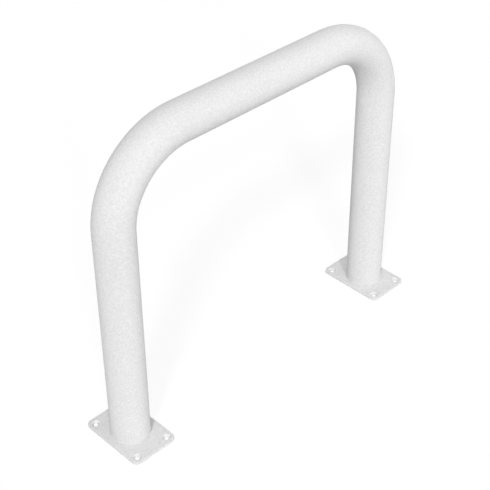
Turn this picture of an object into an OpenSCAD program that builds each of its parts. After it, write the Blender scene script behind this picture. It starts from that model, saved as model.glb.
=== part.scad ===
// Hoop barrier that bolts to the floor: one bent steel tube welded to two
// drilled base plates. The hoop stands in the XZ plane, its middle at x = 0,
// and the undersides of the plates lie on z = 0.

/* [Hoop tube] */
// Outside diameter of the tube
tube_d = 76.1; // [60.3:0.1:88.9]
// Wall thickness of the tube
tube_wall = 3; // [2:0.1:5]
// Width of the hoop over the outsides of its legs
hoop_w = 750; // [600:5:1500]
// Height of the hoop's top above the floor
hoop_h = 658; // [500:1:1200]
// Radius of both bends, measured to the tube's centreline
bend_r = 152; // [130:1:200]

/* [Base plates] */
// Size of each plate along the hoop
plate_x = 100; // [100:1:160]
// Size of each plate across the hoop
plate_y = 150; // [120:1:200]
// Thickness of each plate
plate_t = 5; // [4:0.5:12]
// Radius of a plate's four corners
plate_corner_r = 12.5; // [2:0.5:16]

/* [Bolt holes] */
// Diameter of the four holes in each plate
hole_d = 9; // [6.6:0.1:12]
// Distance from a hole's centre to the plate's edges, both ways
hole_edge = 14; // [11:0.5:18]
// Diameter of a hole's countersink at the plate's top
sink_d = 16; // [13:0.1:20]
// Full angle of the countersink
sink_angle = 90; // [82:1:120]

/* [Welds] */
// Width of the flat ring that the bevel leaves at the foot of the tube
foot_land = 0.5; // [0.3:0.1:1.5]
// How far the weld's toe stands out from the tube, on the plate
weld_toe = 0.6; // [0.5:0.1:3]
// How far the weld's face stands out past a flat one
weld_bulge = 0.1; // [0.05:0.05:0.4]

/* [Hidden] */

SIDES = 96;                                  // facets of the tube in a preview
CUT = 1;                                     // how far a cutter runs past a face
coat = [0.84, 0.84, 0.84];

leg_x = (hoop_w - tube_d) / 2;               // each leg's axis
bar_z = hoop_h - tube_d / 2;                 // the top bar's axis
bend_x = leg_x - bend_r;                     // centres of the two bends
bend_z = bar_z - bend_r;
hole_x = plate_x / 2 - hole_edge;            // hole centres, from the leg's axis
hole_y = plate_y / 2 - hole_edge;
sink_h = (sink_d - hole_d) / 2 / tan(sink_angle / 2);
foot_bevel = tube_wall - foot_land;          // both ways, at 45 degrees

// A round bar of diameter d along the hoop's centreline, with its feet at foot_z.
module hoop_rod(d, foot_z) {
    for (side = [-1, 1]) {
        translate([side * leg_x, 0, foot_z])
            cylinder(d = d, h = bend_z - foot_z, $fn = SIDES);
        translate([side * bend_x, 0, bend_z])
            rotate([90, 0, side > 0 ? 0 : 180])
                mirror([0, 0, side > 0 ? 0 : 1])
                    bend(d);
    }
    translate([-bend_x, 0, bar_z])
        rotate([0, 90, 0])
            cylinder(d = d, h = 2 * bend_x, $fn = SIDES);
}

// A quarter turn of round bar, from the +X axis to the +Y axis.
module bend(d) {
    rotate_extrude(angle = 90, $fn = 2 * SIDES)
        translate([bend_r, 0])
            circle(d = d, $fn = SIDES);
}

// What is cut away round the outside of a leg's foot, for the weld to fill.
module bevel_cut() {
    rotate_extrude($fn = SIDES)
        polygon([
            [tube_d / 2 - foot_bevel - CUT, -CUT],
            [tube_d / 2 + CUT, -CUT],
            [tube_d / 2 + CUT, foot_bevel + CUT]
        ]);
}

module hoop_tube() {
    color(coat)
        difference() {
            hoop_rod(tube_d, plate_t);
            hoop_rod(tube_d - 2 * tube_wall, plate_t - CUT);
            for (side = [-1, 1])
                translate([side * leg_x, 0, plate_t])
                    bevel_cut();
        }
}

// A rectangle with rounded corners, centred on the origin.
module rounded_rectangle(x, y, r) {
    square([x, y - 2 * r], center = true);
    square([x - 2 * r, y], center = true);
    for (sx = [-1, 1], sy = [-1, 1])
        translate([sx * (x / 2 - r), sy * (y / 2 - r)])
            circle(r = r, $fn = SIDES);
}

// What is cut away for one hole: a straight bore that opens into a cone.
module countersunk_hole() {
    spread = CUT * tan(sink_angle / 2);
    rotate_extrude($fn = SIDES)
        polygon([
            [0, -CUT],
            [hole_d / 2, -CUT],
            [hole_d / 2, plate_t - sink_h],
            [sink_d / 2 + spread, plate_t + CUT],
            [0, plate_t + CUT]
        ]);
}

module base_plate(side) {
    color(coat)
        translate([side * leg_x, 0, 0])
            difference() {
                linear_extrude(plate_t)
                    rounded_rectangle(plate_x, plate_y, plate_corner_r);
                for (sx = [-1, 1], sy = [-1, 1])
                    translate([sx * hole_x, sy * hole_y, 0])
                        countersunk_hole();
            }
}

// A ring of weld that fills the bevel and runs out on the plate. Its face is an
// arc through both toes that stands weld_bulge past the straight line.
module weld(side) {
    chord = sqrt(foot_bevel * foot_bevel + weld_toe * weld_toe);
    face_r = (chord * chord / 4 + weld_bulge * weld_bulge) / (2 * weld_bulge);
    back = (face_r - weld_bulge) / chord;
    color(coat)
        translate([side * leg_x, 0, plate_t])
            rotate_extrude($fn = SIDES)
                translate([tube_d / 2, 0])
                    intersection() {
                        polygon([
                            [-foot_bevel, 0],
                            [weld_toe + CUT, 0],
                            [weld_toe + CUT, foot_bevel + CUT],
                            [CUT, foot_bevel + CUT]
                        ]);
                        translate([
                            weld_toe / 2 - back * foot_bevel,
                            foot_bevel / 2 - back * weld_toe
                        ])
                            circle(r = face_r, $fn = SIDES);
                    }
}

module base_plate_left() { base_plate(-1); }
module base_plate_right() { base_plate(1); }
module weld_left() { weld(-1); }
module weld_right() { weld(1); }

hoop_tube();
base_plate_left();
base_plate_right();
weld_left();
weld_right();
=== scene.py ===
"""The look of a hoop barrier.

One bent steel tube is welded to two base plates, all in a light grey powder coat.
"""
import math

import bpy
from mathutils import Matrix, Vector


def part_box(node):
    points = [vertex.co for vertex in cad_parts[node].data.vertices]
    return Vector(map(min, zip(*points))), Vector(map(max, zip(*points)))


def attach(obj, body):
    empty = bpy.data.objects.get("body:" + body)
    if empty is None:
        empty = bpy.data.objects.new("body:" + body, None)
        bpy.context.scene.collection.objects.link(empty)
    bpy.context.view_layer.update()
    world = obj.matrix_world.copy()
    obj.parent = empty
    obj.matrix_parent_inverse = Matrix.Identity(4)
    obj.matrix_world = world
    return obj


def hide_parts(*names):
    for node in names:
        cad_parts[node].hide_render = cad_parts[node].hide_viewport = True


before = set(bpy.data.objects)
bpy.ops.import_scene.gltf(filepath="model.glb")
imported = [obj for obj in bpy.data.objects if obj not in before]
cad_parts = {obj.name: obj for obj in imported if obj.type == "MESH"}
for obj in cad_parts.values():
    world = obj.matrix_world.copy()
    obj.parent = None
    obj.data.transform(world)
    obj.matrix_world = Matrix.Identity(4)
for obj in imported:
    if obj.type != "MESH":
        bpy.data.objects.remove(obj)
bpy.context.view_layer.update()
scene = bpy.context.scene

# The camera
#
# A long lens a little over two metres away, an eighth of a turn round from the
# hoop's front and looking down on it, so that its near leg is the left one.
PICTURE_PX = 490                       # width and height of the picture
LENS_PX = 1176.25                      # focal length, counted in its pixels
AXIS_RIGHT_PX = 11.4                   # from the picture's middle to the lens axis
AXIS_UP_PX = 28.5
SENSOR_MM = 36
AIM_HEIGHT = 0.333                     # where that axis passes over the hoop's middle
DISTANCE = 2.2375                      # how far from there the camera stands
towards = Vector((1, 1, -1)).normalized()

lens = bpy.data.cameras.new("camera")
lens.sensor_width = SENSOR_MM
lens.lens = SENSOR_MM * LENS_PX / PICTURE_PX
lens.shift_x = -AXIS_RIGHT_PX / PICTURE_PX
lens.shift_y = -AXIS_UP_PX / PICTURE_PX
camera = bpy.data.objects.new("camera", lens)
camera.location = Vector((0, 0, AIM_HEIGHT)) - DISTANCE * towards
camera.rotation_mode = "QUATERNION"
camera.rotation_quaternion = towards.to_track_quat("-Z", "Y")
scene.collection.objects.link(camera)
scene.camera = camera


# The powder coat
#
# One light grey polyester coat, sprayed on as powder and baked over the finished
# weldment. It dries matt, with a fine grain and a faint cloudiness. Painted shade
# darkens the coat at the foot of each leg, up the leg and out onto the plate.
COAT_TONE = 0.83
# How many patches of each pattern lie in a metre, and how many finer layers it has.
CLOUD_SCALE, CLOUD_DETAIL = 14, 2
MOTTLE_SCALE, MOTTLE_DETAIL = 260, 3
GRAIN_SCALE, GRAIN_DETAIL = 1300, 2
CLOUD_SHARE = 0.02                     # how far the cloudiness moves the tone
MOTTLE_SHARE = 0.34                    # and the mottle
PAINTED_FOOT_SHADE = 0.12                      # how much painted shade darkens the coat at the very foot
PAINTED_SHADE_UP = 0.02                         # how far up the leg the painted shade thins to a third
PAINTED_SHADE_OUT = 0.003                       # and how far out on the plate
RELIEF = 0.0012
RELIEF_STRENGTH = 0.5
MOTTLE_RELIEF, GRAIN_RELIEF = 0.7, 0.3  # what each pattern gives to the relief
ROUGHNESS = 0.6
GRAIN_ROUGHNESS = 0.12                 # how much rougher the grain's peaks are
DIFFUSE_ROUGHNESS = 0.25
SPECULAR = 0.3


class Wire:
    """A socket in a node tree. Python's signs between wires add Math nodes."""

    def __init__(self, graph, socket):
        self.graph = graph
        self.socket = socket

    def __getitem__(self, name):
        """Another output of the same node."""
        return Wire(self.graph, self.socket.node.outputs[name])

    def math(self, operation, *others):
        sockets = dict(enumerate((self, *others)))
        return self.graph.add("ShaderNodeMath", sockets, operation=operation)

    def __add__(self, other):
        return self.math("ADD", other)

    def __sub__(self, other):
        return self.math("SUBTRACT", other)

    def __mul__(self, other):
        return self.math("MULTIPLY", other)

    def __truediv__(self, other):
        return self.math("DIVIDE", other)

    def __pow__(self, other):
        return self.math("POWER", other)

    def __rsub__(self, other):
        return self * -1 + other

    __radd__ = __add__
    __rmul__ = __mul__


class Graph:
    """A node tree and the one way in which nodes are added to it."""

    def __init__(self, tree):
        self.tree = tree

    def add(self, kind, sockets=(), out=0, **settings):
        """Adds a node: its own settings first, then what each named socket gets.

        That is a value, a Wire, or a list of Wires for a socket that joins several.
        """
        node = self.tree.nodes.new(kind)
        for name, value in settings.items():
            setattr(node, name, value)
        for name, value in dict(sockets).items():
            socket = node.inputs[name]
            if isinstance(value, list):
                for wire in reversed(value):
                    self.tree.links.new(wire.socket, socket)
            elif isinstance(value, Wire):
                self.tree.links.new(value.socket, socket)
            else:
                socket.default_value = value
        return Wire(self, node.outputs[out]) if node.outputs else None

    def input(self, name, kind):
        """Adds a named input to the whole tree."""
        self.tree.interface.new_socket(
            name, in_out="INPUT", socket_type="NodeSocket" + kind
        )
        nodes = self.tree.nodes
        source = nodes.get("Group Input") or nodes.new("NodeGroupInput")
        return Wire(self, source.outputs[name])


def powder_coat(leg_x, tube_radius, plate_top):
    material = bpy.data.materials.new("light_grey_coat")
    material.use_nodes = True
    material.node_tree.nodes.clear()
    coat = Graph(material.node_tree)
    place = coat.add("ShaderNodeTexCoord", out="Object")

    def patches(scale, detail):
        return coat.add(
            "ShaderNodeTexNoise",
            {"Vector": place, "Scale": scale, "Detail": detail},
        )

    cloud = patches(CLOUD_SCALE, CLOUD_DETAIL)
    mottle = patches(MOTTLE_SCALE, MOTTLE_DETAIL)
    grain = patches(GRAIN_SCALE, GRAIN_DETAIL)
    # Painted shade: the coat is darkened round the foot of each leg, where leg meets
    # plate.
    spot = coat.add("ShaderNodeSeparateXYZ", {"Vector": place})
    from_leg = spot["X"].math("ABSOLUTE") - leg_x
    out = ((from_leg ** 2 + spot["Y"] ** 2) ** 0.5 - tube_radius) / PAINTED_SHADE_OUT
    up = (spot["Z"] - plate_top) / PAINTED_SHADE_UP
    painted_foot_shade = PAINTED_FOOT_SHADE * (-1 * (out ** 2 + up ** 2) ** 0.5).math("EXPONENT")
    # The patterns lie round a half, so the tone keeps its mean.
    least = 1 - (CLOUD_SHARE + MOTTLE_SHARE) / 2
    shade = least + CLOUD_SHARE * cloud + MOTTLE_SHARE * mottle
    tone = COAT_TONE * shade * (1 - painted_foot_shade)
    colour = coat.add(
        "ShaderNodeCombineColor",
        {"Red": tone, "Green": tone, "Blue": tone},
    )
    bump = coat.add(
        "ShaderNodeBump",
        {
            "Strength": RELIEF_STRENGTH,
            "Distance": RELIEF,
            "Height": MOTTLE_RELIEF * mottle + GRAIN_RELIEF * grain,
        },
    )
    surface = coat.add(
        "ShaderNodeBsdfPrincipled",
        {
            "Base Color": colour,
            "Roughness": ROUGHNESS + GRAIN_ROUGHNESS * grain,
            "Diffuse Roughness": DIFFUSE_ROUGHNESS,
            "Specular IOR Level": SPECULAR,
            "Normal": bump,
        },
    )
    coat.add("ShaderNodeOutputMaterial", {"Surface": surface})
    return material


tube_low, tube_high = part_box("hoop_tube")
tube_radius = (tube_high.y - tube_low.y) / 2
leg_x = tube_high.x - tube_radius
coat_material = powder_coat(leg_x, tube_radius, tube_low.z)


# The hoop tube
#
# A length of round steel tube, bent cold round a former at two corners, so that
# it stays round in the bends. Its feet are bevelled on the outside for the weld.
TUBE_WALL = 0.003
FOOT_BEVEL = 0.0025
BEND_RADIUS = 0.152
BEND_STEPS = 64
TUBE_STEPS = 128
SECTION_MERGE = 1e-6                   # points of a section that lie closer are one
SEAM_MERGE = 2e-6                      # and so are those of a whole piece
SHARP_ANGLE = math.radians(40)         # edges that turn by more stay sharp


def start_piece(name, points=(), edges=()):
    """A new object at the origin, bare or with the line that its tree follows."""
    mesh = bpy.data.meshes.new(name)
    mesh.from_pydata(points, edges, [])
    piece = bpy.data.objects.new(name, mesh)
    scene.collection.objects.link(piece)
    return piece


def start_tree(name):
    tree = bpy.data.node_groups.new(name, "GeometryNodeTree")
    tree.interface.new_socket(
        "Geometry", in_out="OUTPUT", socket_type="NodeSocketGeometry"
    )
    return Graph(tree)


def end_tree(g, mesh):
    """Gives a tree's mesh its coat and sends it out."""
    solid = g.add("GeometryNodeRealizeInstances", {"Geometry": mesh})
    coated = g.add(
        "GeometryNodeSetMaterial",
        {"Geometry": solid, "Material": coat_material},
    )
    g.add("NodeGroupOutput", {"Geometry": coated})
    return g.tree


def settle(piece, tree, sizes):
    """Runs a tree on a piece with its inputs set by name, and keeps the plain mesh."""
    nodes = piece.modifiers.new("nodes", "NODES")
    nodes.node_group = tree
    for item in tree.interface.items_tree:
        if item.in_out == "INPUT" and item.name in sizes:
            nodes[item.identifier] = sizes[item.name]
    graph = bpy.context.evaluated_depsgraph_get()
    mesh = bpy.data.meshes.new_from_object(piece.evaluated_get(graph))
    # Parts that were joined bring an empty material slot along.
    for i in reversed(range(len(mesh.materials))):
        if mesh.materials[i] is None:
            mesh.materials.pop(index=i)
    mesh.set_sharp_from_angle(angle=SHARP_ANGLE)
    piece.modifiers.clear()
    piece.data = mesh
    return piece


def join(g, parts):
    return g.add("GeometryNodeJoinGeometry", {"Geometry": parts})


def merge(g, mesh, distance):
    return g.add(
        "GeometryNodeMergeByDistance",
        {"Geometry": mesh, "Distance": distance},
    )


def circle(g, radius, steps):
    return g.add(
        "GeometryNodeCurvePrimitiveCircle",
        {"Resolution": steps, "Radius": radius},
    )


def rounded(g, line, radius, steps, as_fits=False):
    """A line of straight runs with its corners made round, or as round as fits."""
    return g.add(
        "GeometryNodeFilletCurve",
        {"Curve": line, "Count": steps, "Radius": radius, "Limit Radius": as_fits},
        mode="POLY",
    )


def flat_point(g, x, y):
    return g.add("ShaderNodeCombineXYZ", {"X": x, "Y": y})


def section(g, *points):
    """The open line of a section to sweep: how far out and how far down."""
    ends = [flat_point(g, out, down) for out, down in points]
    runs = [
        g.add("GeometryNodeCurvePrimitiveLine", {"Start": start, "End": end})
        for start, end in zip(ends, ends[1:])
    ]
    line = g.add("GeometryNodeCurveToMesh", {"Curve": join(g, runs)})
    return g.add("GeometryNodeMeshToCurve", {"Mesh": merge(g, line, SECTION_MERGE)})


def sweep(g, path, profile):
    wall = g.add("GeometryNodeCurveToMesh", {"Curve": path, "Profile Curve": profile})
    return g.add("GeometryNodeSetShadeSmooth", {"Geometry": wall})


def tube_tree():
    """A tube along a path of straight runs, its corners bent and its ends bevelled."""
    g = start_tree("bent_tube")
    path = g.input("Path", "Geometry")
    bend = g.input("Bend Radius", "Float")
    bend_steps = g.input("Bend Steps", "Int")
    radius = g.input("Tube Radius", "Float")
    wall = g.input("Wall", "Float")
    bevel = g.input("Foot Bevel", "Float")
    steps = g.input("Round Steps", "Int")

    line = g.add("GeometryNodeMeshToCurve", {"Mesh": path})
    centreline = rounded(g, line, bend, bend_steps)
    length = g.add("GeometryNodeCurveLength", {"Curve": centreline})
    # Sockets 4 and 5 are the start and end in metres, which share their names with
    # two that are shares of the length.
    trimmed = g.add(
        "GeometryNodeTrimCurve",
        {"Curve": centreline, 4: bevel, 5: length - bevel},
        mode="LENGTH",
    )
    outside = sweep(g, trimmed, circle(g, radius, steps))
    bore = sweep(g, centreline, circle(g, radius - wall, steps))
    inside = g.add("GeometryNodeFlipFaces", {"Mesh": bore})
    foot_face = section(g, (0, -1 * bevel), (-1 * bevel, 0), (-1 * wall, 0))
    feet = g.add(
        "GeometryNodeInstanceOnPoints",
        {
            "Points": centreline,
            "Selection": g.add("GeometryNodeCurveEndpointSelection"),
            "Instance": sweep(g, circle(g, radius, steps), foot_face),
        },
    )
    solid = g.add(
        "GeometryNodeRealizeInstances",
        {"Geometry": join(g, [outside, inside, feet])},
    )
    return end_tree(g, merge(g, solid, SEAM_MERGE))


bar_z = tube_high.z - tube_radius
hoop_corners = [
    (-leg_x, 0, tube_low.z),
    (-leg_x, 0, bar_z),
    (leg_x, 0, bar_z),
    (leg_x, 0, tube_low.z),
]
hoop = settle(
    start_piece("tube", hoop_corners, [(0, 1), (1, 2), (2, 3)]),
    tube_tree(),
    {
        "Bend Radius": BEND_RADIUS,
        "Bend Steps": BEND_STEPS,
        "Tube Radius": tube_radius,
        "Wall": TUBE_WALL,
        "Foot Bevel": FOOT_BEVEL,
        "Round Steps": TUBE_STEPS,
    },
)
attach(hoop, "root")
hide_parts("hoop_tube")


# The base plates
#
# Two flat steel plates, cut to a rectangle with round corners and drilled and
# countersunk for four bolts each. The coat rounds their sharp edges a little.
PLATE_CORNER = 0.0125
CORNER_STEPS = 12
HOLE_EDGE = 0.014                      # from a hole's centre to both nearest edges
HOLE_RADIUS = 0.0045
HOLE_STEPS = 64
SINK_RADIUS = 0.008
SINK_ANGLE = math.radians(90)
EDGE_ROUNDING = 0.0005
EDGE_STEPS = 3


def plate_tree():
    """A plate with round corners and four countersunk holes, each edge rounded."""
    g = start_tree("drilled_plate")
    centre = g.input("Centre", "Vector")
    width = g.input("Width", "Float")
    depth = g.input("Depth", "Float")
    thick = g.input("Thickness", "Float")
    corner = g.input("Corner Radius", "Float")
    hole_edge = g.input("Hole Edge Distance", "Float")
    hole = g.input("Hole Radius", "Float")
    sink = g.input("Countersink Radius", "Float")
    slope = g.input("Countersink Depth", "Float")
    ease = g.input("Edge Rounding", "Float")
    steps = g.input("Round Steps", "Int")

    def rectangle(x, y):
        return g.add(
            "GeometryNodeCurvePrimitiveQuadrilateral",
            {"Width": x, "Height": y},
        )

    def eased(*points):
        return rounded(g, section(g, *points), ease, EDGE_STEPS, as_fits=True)

    def lift(part, z):
        offset = g.add("ShaderNodeCombineXYZ", {"Z": z})
        return g.add("GeometryNodeTransform", {"Geometry": part, "Translation": offset})

    def at_holes(part):
        """A copy at each hole's place."""
        places = rectangle(width - 2 * hole_edge, depth - 2 * hole_edge)
        return g.add(
            "GeometryNodeInstanceOnPoints",
            {"Points": places, "Instance": part},
        )

    def face(hole_radius):
        """The flat between the plate's outline and its holes."""
        rings = at_holes(circle(g, hole_radius + ease, steps))
        edges = g.add(
            "GeometryNodeRealizeInstances",
            {"Geometry": join(g, [outline, rings])},
        )
        return g.add("GeometryNodeFillCurve", {"Curve": edges}, mode="NGONS")

    outline = rounded(
        g,
        rectangle(width - 2 * ease, depth - 2 * ease),
        corner - ease,
        CORNER_STEPS,
        as_fits=True,
    )
    rim = eased((0, 0), (ease, 0), (ease, thick), (0, thick))
    step = sink - hole
    bore = eased((ease, thick), (0, thick), (0, slope), (step, 0), (step + ease, 0))
    skin = join(g, [
        lift(sweep(g, outline, rim), thick),
        lift(at_holes(sweep(g, circle(g, hole, steps), bore)), thick),
        lift(face(sink), thick),
        g.add("GeometryNodeFlipFaces", {"Mesh": face(hole)}),
    ])
    solid = g.add("GeometryNodeRealizeInstances", {"Geometry": skin})
    plate = g.add(
        "GeometryNodeTransform",
        {"Geometry": merge(g, solid, SEAM_MERGE), "Translation": centre},
    )
    return end_tree(g, plate)


drilled_plate = plate_tree()
for side in ("left", "right"):
    low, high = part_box("base_plate_" + side)
    plate = settle(
        start_piece("plate_" + side),
        drilled_plate,
        {
            "Centre": ((low.x + high.x) / 2, 0, low.z),
            "Width": high.x - low.x,
            "Depth": high.y - low.y,
            "Thickness": high.z - low.z,
            "Corner Radius": PLATE_CORNER,
            "Hole Edge Distance": HOLE_EDGE,
            "Hole Radius": HOLE_RADIUS,
            "Countersink Radius": SINK_RADIUS,
            "Countersink Depth": (SINK_RADIUS - HOLE_RADIUS) / math.tan(SINK_ANGLE / 2),
            "Edge Rounding": EDGE_ROUNDING,
            "Round Steps": HOLE_STEPS,
        },
    )
    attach(plate, "root")
    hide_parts("base_plate_" + side)


# The welds
#
# A run of weld fills the bevel round the foot of each leg and holds it to its
# plate. It is laid in one pass, and its ripples show under the coat from close by.
WELD_BULGE = 0.0001                    # how far its face stands past a flat one
FACE_STEPS = 6
RIPPLES = 120                          # round each foot
RIPPLE_STEPS = 8                       # points along the ring to each ripple
RIPPLE_DEPTH = 0.0002
RIPPLE_BOW = 2.5                       # how far a ripple trails at the face's edges


def weld_tree():
    """A ring of weld in a leg's bevelled foot, with crescent ripples on its face."""
    g = start_tree("weld_bead")
    centre = g.input("Centre", "Vector")
    foot = g.input("Foot Radius", "Float")
    bevel = g.input("Bevel", "Float")
    toe = g.input("Toe", "Float")
    bulge = g.input("Bulge", "Float")
    ripples = g.input("Ripples", "Int")
    depth = g.input("Ripple Depth", "Float")

    # The bead's section, how far out and down: the bevel's two ends, the crest of
    # the face and its toe. The crest is then made as round as its sides allow.
    rise = 2 * bulge / (bevel ** 2 + toe ** 2) ** 0.5
    crest = (toe / 2 + rise * bevel, -1 * (bevel / 2 + rise * toe))
    corners = [(-1 * bevel, 0), (0, -1 * bevel), crest, (toe, 0)]
    outline = g.add(
        "GeometryNodeCurvePrimitiveQuadrilateral",
        {
            "Point " + str(i + 1): flat_point(g, out, down)
            for i, (out, down) in enumerate(corners)
        },
        mode="POINTS",
    )
    index = g.add("GeometryNodeInputIndex")
    at_crest = index.math("COMPARE", corners.index(crest), 0.5)
    more_than_fits = 10 * bevel
    bead = rounded(g, outline, more_than_fits * at_crest, FACE_STEPS, as_fits=True)
    ring = circle(g, foot, ripples * RIPPLE_STEPS)

    # Each ripple cuts into the face, deepest at its middle and bowed along the ring.
    place = g.add(
        "ShaderNodeSeparateXYZ",
        {"Vector": g.add("GeometryNodeInputPosition")},
    )
    up = place["Z"] / bevel
    turn = place["Y"].math("ARCTAN2", place["X"])
    wave = (ripples * turn + RIPPLE_BOW * (1 - 2 * up) ** 2).math("COSINE")
    middle = 4 * up * (1 - up)
    cut = g.add(
        "ShaderNodeVectorMath",
        {
            0: g.add("GeometryNodeInputNormal"),
            "Scale": -0.5 * depth * (1 + wave) * middle,
        },
        operation="SCALE",
    )
    rippled = g.add(
        "GeometryNodeSetPosition",
        {"Geometry": sweep(g, ring, bead), "Offset": cut},
    )
    weld = g.add("GeometryNodeTransform", {"Geometry": rippled, "Translation": centre})
    return end_tree(g, weld)


weld_bead = weld_tree()
for side in ("left", "right"):
    low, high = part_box("weld_" + side)
    weld = settle(
        start_piece("bead_" + side),
        weld_bead,
        {
            "Centre": ((low.x + high.x) / 2, 0, low.z),
            "Foot Radius": tube_radius,
            "Bevel": high.z - low.z,
            "Toe": (high.x - low.x) / 2 - tube_radius,
            "Bulge": WELD_BULGE,
            "Ripples": RIPPLES,
            "Ripple Depth": RIPPLE_DEPTH,
        },
    )
    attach(weld, "root")
    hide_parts("weld_" + side)


# The floor and the light
#
# A pale floor in a white room, which keeps the hoop's soft shadow. A clear lamp
# stands over the camera's left shoulder, weaker ones over its right shoulder and
# low beside it, and wide ones low to the right and behind.
FLOOR_SIZE = 40
FLOOR_GAP = 0.0002                     # how far it lies under the plates
FLOOR_TONE = 0.535                     # how much light it sends back onto the hoop
FLOOR_WHITE = 0.88                     # the share of its white that no shadow reaches
ROOM_LIGHT = 0.25
# Each lamp's azimuth from the hoop's front and elevation in degrees, the angle
# that it spans in the sky, and its strength in watts a square metre.
LAMPS = {
    "key": (304, 42, 8, 1.345),
    "front": (328, 42, 8, 0.38),
    "fill": (328, 18, 8, 0.685),
    "side": (45, 5, 34, 0.9),
    "back": (135, 5, 34, 0.5),
}
lamps_on_floor = sum(
    strength * math.sin(math.radians(elevation))
    for _, elevation, _, strength in LAMPS.values()
)
white_floor = ROOM_LIGHT + lamps_on_floor / math.pi  # how bright a white one would show


def seen_ray(g):
    """One for a ray that shows the room, straight or in a surface, else nought."""
    path = g.add("ShaderNodeLightPath", out="Is Camera Ray")
    return path + path["Is Glossy Ray"] + path["Is Transmission Ray"]


def floor_material():
    material = bpy.data.materials.new("floor")
    material.use_nodes = True
    material.node_tree.nodes.clear()
    g = Graph(material.node_tree)
    seen = seen_ray(g)
    tone = FLOOR_TONE + (1 / white_floor - FLOOR_TONE) * seen
    colour = g.add("ShaderNodeCombineColor", {"Red": tone, "Green": tone, "Blue": tone})
    plain = g.add("ShaderNodeBsdfDiffuse", {"Color": colour})
    white = g.add("ShaderNodeEmission", {"Color": (1, 1, 1, 1), "Strength": 1})
    mixed = g.add("ShaderNodeMixShader", {0: FLOOR_WHITE * seen, 1: plain, 2: white})
    g.add("ShaderNodeOutputMaterial", {"Surface": mixed})
    return material


half = FLOOR_SIZE / 2
floor_corners = [(-half, -half), (half, -half), (half, half), (-half, half)]
floor_mesh = bpy.data.meshes.new("floor")
floor_mesh.from_pydata(
    [(x, y, -FLOOR_GAP) for x, y in floor_corners], [], [(0, 1, 2, 3)]
)
floor_mesh.materials.append(floor_material())
floor = bpy.data.objects.new("floor", floor_mesh)
scene.collection.objects.link(floor)

room = bpy.data.worlds.new("room")
scene.world = room
room.use_nodes = True
room.node_tree.nodes.clear()
air = Graph(room.node_tree)
glow = air.add(
    "ShaderNodeBackground",
    {"Color": (1, 1, 1, 1), "Strength": ROOM_LIGHT + (1 - ROOM_LIGHT) * seen_ray(air)},
)
air.add("ShaderNodeOutputWorld", {"Surface": glow})

for name, (azimuth, elevation, span, strength) in LAMPS.items():
    light = bpy.data.lights.new(name, "SUN")
    light.angle = math.radians(span)
    light.energy = strength
    lamp = bpy.data.objects.new(name, light)
    turn, tilt = math.radians(azimuth), math.radians(elevation)
    level = math.cos(tilt)
    back = Vector((math.sin(turn) * level, -math.cos(turn) * level, math.sin(tilt)))
    lamp.rotation_mode = "QUATERNION"
    lamp.rotation_quaternion = (-back).to_track_quat("-Z", "Y")
    scene.collection.objects.link(lamp)

scene.view_settings.view_transform = "Standard"
